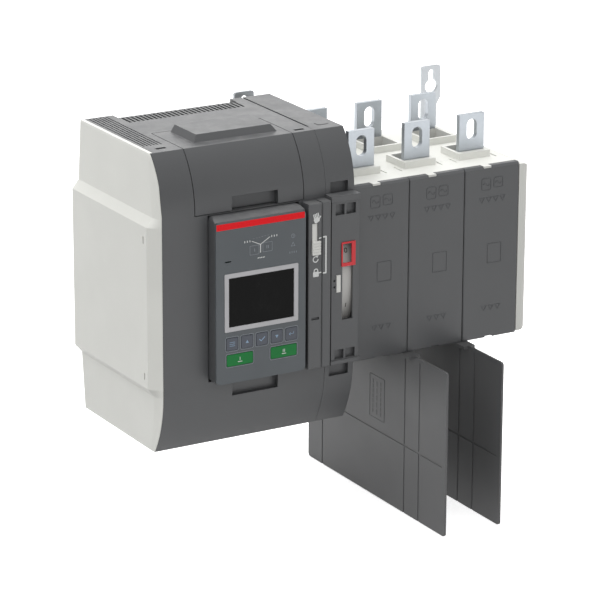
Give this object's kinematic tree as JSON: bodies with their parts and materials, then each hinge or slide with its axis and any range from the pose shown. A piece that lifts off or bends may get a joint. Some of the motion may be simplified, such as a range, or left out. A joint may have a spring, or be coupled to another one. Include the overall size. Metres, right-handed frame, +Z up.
{
  "type": "automatic transfer switch",
  "caption": "Panel-mounted automatic transfer switch: mechanism box with detachable display, mode slider and position window, beside a contact section with slotted terminals and barriers.",
  "frame": {"origin": "on the mounting plane, at the centre of the four fixing holes", "axes": "+X to the right seen from the front, -Y out of the front of the switch, +Z up"},
  "size_m": [0.411, 0.2497, 0.386],
  "materials": {
    "light_plastic": "fine satin grain",
    "dark_plastic": "fine matt grain",
    "face_plastic": "satin foil",
    "black_glass": "glossy",
    "pale_frame": "satin",
    "key_foil": "satin foil",
    "green_key": "satin foil",
    "white_plastic": "satin",
    "red_plastic": "satin",
    "grey_plastic": "satin",
    "tin_plated_copper": "tin plated",
    "bare_copper": "bare",
    "zinc_steel": "zinc plated",
    "machined_steel": "machined",
    "black_screw": "black oxide",
    "circuit_board": "solder mask",
    "moulded_insulator": "thermoset"
  },
  "bodies": {
    "switch_frame": {"back_plate": "dark_plastic", "back_plate_screws": "black_screw", "connector_block": "dark_plastic", "controller_board": "circuit_board", "drive_frame": "zinc_steel", "drive_motor": "machined_steel", "end_plate": "light_plastic", "front_cover": "dark_plastic", "front_terminal_one": "tin_plated_copper", "front_terminal_three": "tin_plated_copper", "front_terminal_two": "tin_plated_copper", "gearbox_cover": "dark_plastic", "handle_housing": "dark_plastic", "hmi_dock": "dark_plastic", "indicator_bezel": "red_plastic", "left_mounting_rail": "zinc_steel", "left_phase_barrier": "dark_plastic", "load_terminal_one": "tin_plated_copper", "load_terminal_three": "tin_plated_copper", "load_terminal_two": "tin_plated_copper", "pole_one_cover": "dark_plastic", "pole_one_housing": "light_plastic", "pole_three_cover": "dark_plastic", "pole_three_housing": "light_plastic", "pole_two_cover": "dark_plastic", "pole_two_housing": "light_plastic", "rail_screws": "zinc_steel", "rear_terminal_one": "tin_plated_copper", "rear_terminal_three": "tin_plated_copper", "rear_terminal_two": "tin_plated_copper", "right_mounting_rail": "zinc_steel", "right_phase_barrier": "dark_plastic", "selector_strip": "dark_plastic", "side_cover": "light_plastic", "tell_tale_bar": "white_plastic"},
    "display_unit": {"hmi_housing": "dark_plastic", "hmi_face": "face_plastic", "display_frame": "pale_frame", "display_screen": "black_glass", "hmi_board": "circuit_board"},
    "menu_key": {"menu_key": "key_foil"},
    "up_key": {"up_key": "key_foil"},
    "confirm_key": {"confirm_key": "key_foil"},
    "down_key": {"down_key": "key_foil"},
    "return_key": {"return_key": "key_foil"},
    "source_one_key": {"source_one_key": "green_key"},
    "source_two_key": {"source_two_key": "green_key"},
    "mode_slider": {"mode_slider": "white_plastic"},
    "padlock_latch": {"padlock_latch": "dark_plastic"},
    "connector_flap": {"connector_flap": "dark_plastic"},
    "transfer_rotor": {"transfer_shaft": "machined_steel", "shaft_gear": "machined_steel", "indicator_drum": "grey_plastic", "contact_rotor_one": "moulded_insulator", "contact_rotor_two": "moulded_insulator", "contact_rotor_three": "moulded_insulator", "contact_blade_one": "bare_copper", "contact_blade_two": "bare_copper", "contact_blade_three": "bare_copper"},
    "motor_pinion": {"motor_pinion": "machined_steel"}
  },
  "joints": [
    {"name": "transfer_turn", "type": "hinge", "parent": "switch_frame", "child": "transfer_rotor", "pos_m": [0, -0.09865, 0.002], "axis": [1, 0, 0], "range_deg": [-33, 33]},
    {"name": "pinion_turn", "type": "hinge", "parent": "switch_frame", "child": "motor_pinion", "pos_m": [-0.1146, -0.09865, 0.0425], "axis": [1, 0, 0], "range_deg": [-70, 70]},
    {"name": "display_pull", "type": "slide", "parent": "switch_frame", "child": "display_unit", "axis": [0, -1, 0], "range_m": [0, 0.03]},
    {"name": "flap_lift", "type": "slide", "parent": "switch_frame", "child": "connector_flap", "axis": [0, -0.7071, 0.7071], "range_m": [0, 0.08]},
    {"name": "mode_slide", "type": "slide", "parent": "switch_frame", "child": "mode_slider", "axis": [0, 0, 1], "range_m": [0, 0.015]},
    {"name": "latch_pull", "type": "slide", "parent": "switch_frame", "child": "padlock_latch", "axis": [0, -1, 0], "range_m": [0, 0.022]},
    {"name": "menu_key_press", "type": "slide", "parent": "display_unit", "child": "menu_key", "axis": [0, 1, 0], "range_m": [0, 0.0006], "stiffness_N_per_m": 800, "springref_m": -0.0005},
    {"name": "up_key_press", "type": "slide", "parent": "display_unit", "child": "up_key", "axis": [0, 1, 0], "range_m": [0, 0.0006], "stiffness_N_per_m": 800, "springref_m": -0.0005},
    {"name": "confirm_key_press", "type": "slide", "parent": "display_unit", "child": "confirm_key", "axis": [0, 1, 0], "range_m": [0, 0.0006], "stiffness_N_per_m": 800, "springref_m": -0.0005},
    {"name": "down_key_press", "type": "slide", "parent": "display_unit", "child": "down_key", "axis": [0, 1, 0], "range_m": [0, 0.0006], "stiffness_N_per_m": 800, "springref_m": -0.0005},
    {"name": "return_key_press", "type": "slide", "parent": "display_unit", "child": "return_key", "axis": [0, 1, 0], "range_m": [0, 0.0006], "stiffness_N_per_m": 800, "springref_m": -0.0005},
    {"name": "source_one_key_press", "type": "slide", "parent": "display_unit", "child": "source_one_key", "axis": [0, 1, 0], "range_m": [0, 0.0006], "stiffness_N_per_m": 800, "springref_m": -0.0005},
    {"name": "source_two_key_press", "type": "slide", "parent": "display_unit", "child": "source_two_key", "axis": [0, 1, 0], "range_m": [0, 0.0006], "stiffness_N_per_m": 800, "springref_m": -0.0005}
  ],
  "couplings": [
    {"joint": "pinion_turn", "follows": "transfer_turn", "ratio": -2}
  ]
}
